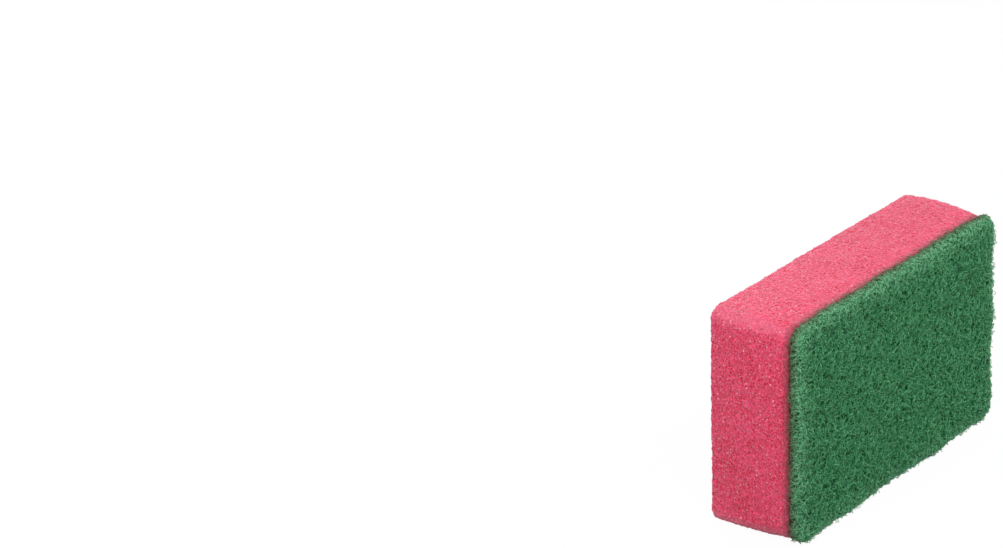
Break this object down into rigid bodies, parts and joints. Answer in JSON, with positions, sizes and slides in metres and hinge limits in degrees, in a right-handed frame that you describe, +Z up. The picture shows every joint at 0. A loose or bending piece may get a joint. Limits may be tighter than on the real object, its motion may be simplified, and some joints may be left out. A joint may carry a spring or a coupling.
{
  "type": "cleaning sponge",
  "caption": "Rectangular household cleaning sponge: a soft foam block with a coarse scouring pad bonded to one broad face and a shallow groove at the joint.",
  "frame": {"origin": "centre of the bounding box's underside, on the surface that the sponge stands on", "axes": "+X out of the scouring face, +Y along the sponge's length, +Z up, across its width; it stands on one long narrow side"},
  "size_m": [0.0274, 0.093, 0.06],
  "materials": {
    "foam": "matte",
    "scouring_fleece": "matte"
  },
  "bodies": {
    "root": {"foam_block": "foam", "scouring_pad": "scouring_fleece"}
  },
  "joints": []
}
